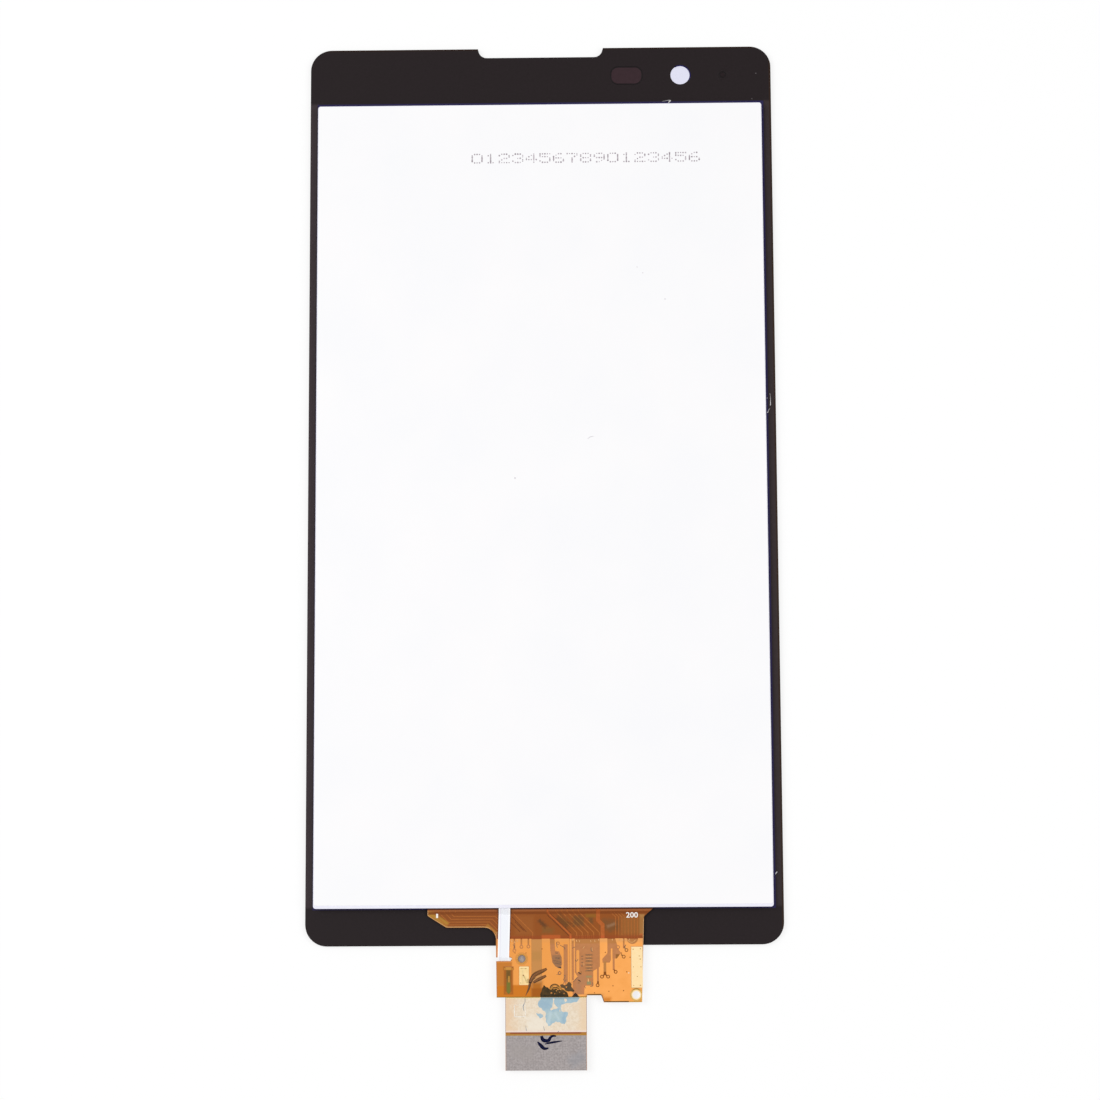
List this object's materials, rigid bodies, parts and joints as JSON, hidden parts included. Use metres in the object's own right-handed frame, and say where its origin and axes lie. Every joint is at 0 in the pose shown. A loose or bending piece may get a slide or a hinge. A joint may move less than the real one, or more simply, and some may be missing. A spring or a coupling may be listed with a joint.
{
  "type": "phone lcd screen assembly",
  "caption": "Flat phone display unit: cover glass with black border, lit liquid crystal module bonded behind it, and a flexible circuit with a connector tail.",
  "frame": {"origin": "centre of the cover glass's front face, the face that it lies on", "axes": "+X across the glass, seen from the rear with the notch up it points right; +Y along the glass towards the speaker notch; +Z out of the rear"},
  "size_m": [0.072, 0.158, 0.0023],
  "materials": {
    "cover_glass": "chemically strengthened cover glass, polished",
    "border_print": "black screen-printed ink, satin",
    "sensor_print": "dark violet infrared ink",
    "clear_adhesive": "optically clear adhesive",
    "polariser": "polarising film, neutral grey",
    "panel_glass": "thin display glass",
    "bare_silicon": "bare silicon chip, ground rear",
    "black_tape": "black double-sided tape",
    "frame_plastic": "white moulded polycarbonate",
    "optical_film": "embossed polyester film",
    "diffuser_film": "frosted polyester film",
    "light_guide": "clear moulded acrylic",
    "reflector_film": "white voided polyester film",
    "lamp_body": "white lamp body with yellow phosphor",
    "lamp_strip": "white cover film over a thin flexible circuit",
    "polyimide": "amber polyimide film",
    "filmed_copper": "copper foil under amber polyimide film",
    "dim_copper": "copper lines under amber polyimide film",
    "gold_plate": "gold plate over nickel, bare",
    "release_paper": "cream siliconised paper",
    "adhesive_layer": "acrylic adhesive",
    "shield_film": "grey conductive shielding film",
    "connector_plastic": "black moulded liquid crystal polymer",
    "contact_gold": "gold plated phosphor bronze",
    "anchor_tin": "tin plated bronze",
    "ferrite": "grey sintered ferrite",
    "chip_resin": "black moulded epoxy",
    "capacitor_ceramic": "tan ceramic with tinned ends"
  },
  "bodies": {
    "root": {"cover_glass": "cover_glass", "border_ink": "border_print", "sensor_window_ink": "sensor_print", "indicator_window_ink": "sensor_print", "optical_adhesive": "clear_adhesive", "front_polariser": "polariser", "colour_filter_glass": "panel_glass", "tft_glass": "panel_glass", "rear_polariser": "polariser", "driver_chip": "bare_silicon", "rim_tape": "black_tape", "backlight_frame": "frame_plastic", "upper_prism_film": "optical_film", "lower_prism_film": "optical_film", "diffuser_film": "diffuser_film", "light_guide": "light_guide", "reflector_film": "reflector_film", "led_flex": "lamp_strip", "main_flex": "polyimide", "bend_traces": "dim_copper", "feed_traces": "filmed_copper", "ground_copper": "filmed_copper", "board_traces": "filmed_copper", "shield_pad": "gold_plate", "test_pad": "gold_plate", "peg_ring": "gold_plate", "bond_sheet": "adhesive_layer", "tail_flex": "polyimide", "liner_adhesive": "adhesive_layer", "release_liner": "release_paper", "tail_shield": "shield_film", "hole_shield": "shield_film", "connector_housing": "connector_plastic", "contact_row_upper": "contact_gold", "contact_row_lower": "contact_gold", "anchor_left": "anchor_tin", "anchor_right": "anchor_tin", "inductor": "ferrite", "regulator_chip": "chip_resin", "led_01": "lamp_body", "led_02": "lamp_body", "led_03": "lamp_body", "led_04": "lamp_body", "led_05": "lamp_body", "led_06": "lamp_body", "led_07": "lamp_body", "led_08": "lamp_body", "led_09": "lamp_body", "led_10": "lamp_body", "capacitor_1": "capacitor_ceramic", "capacitor_2": "capacitor_ceramic", "capacitor_3": "capacitor_ceramic", "capacitor_4": "capacitor_ceramic"}
  },
  "joints": []
}
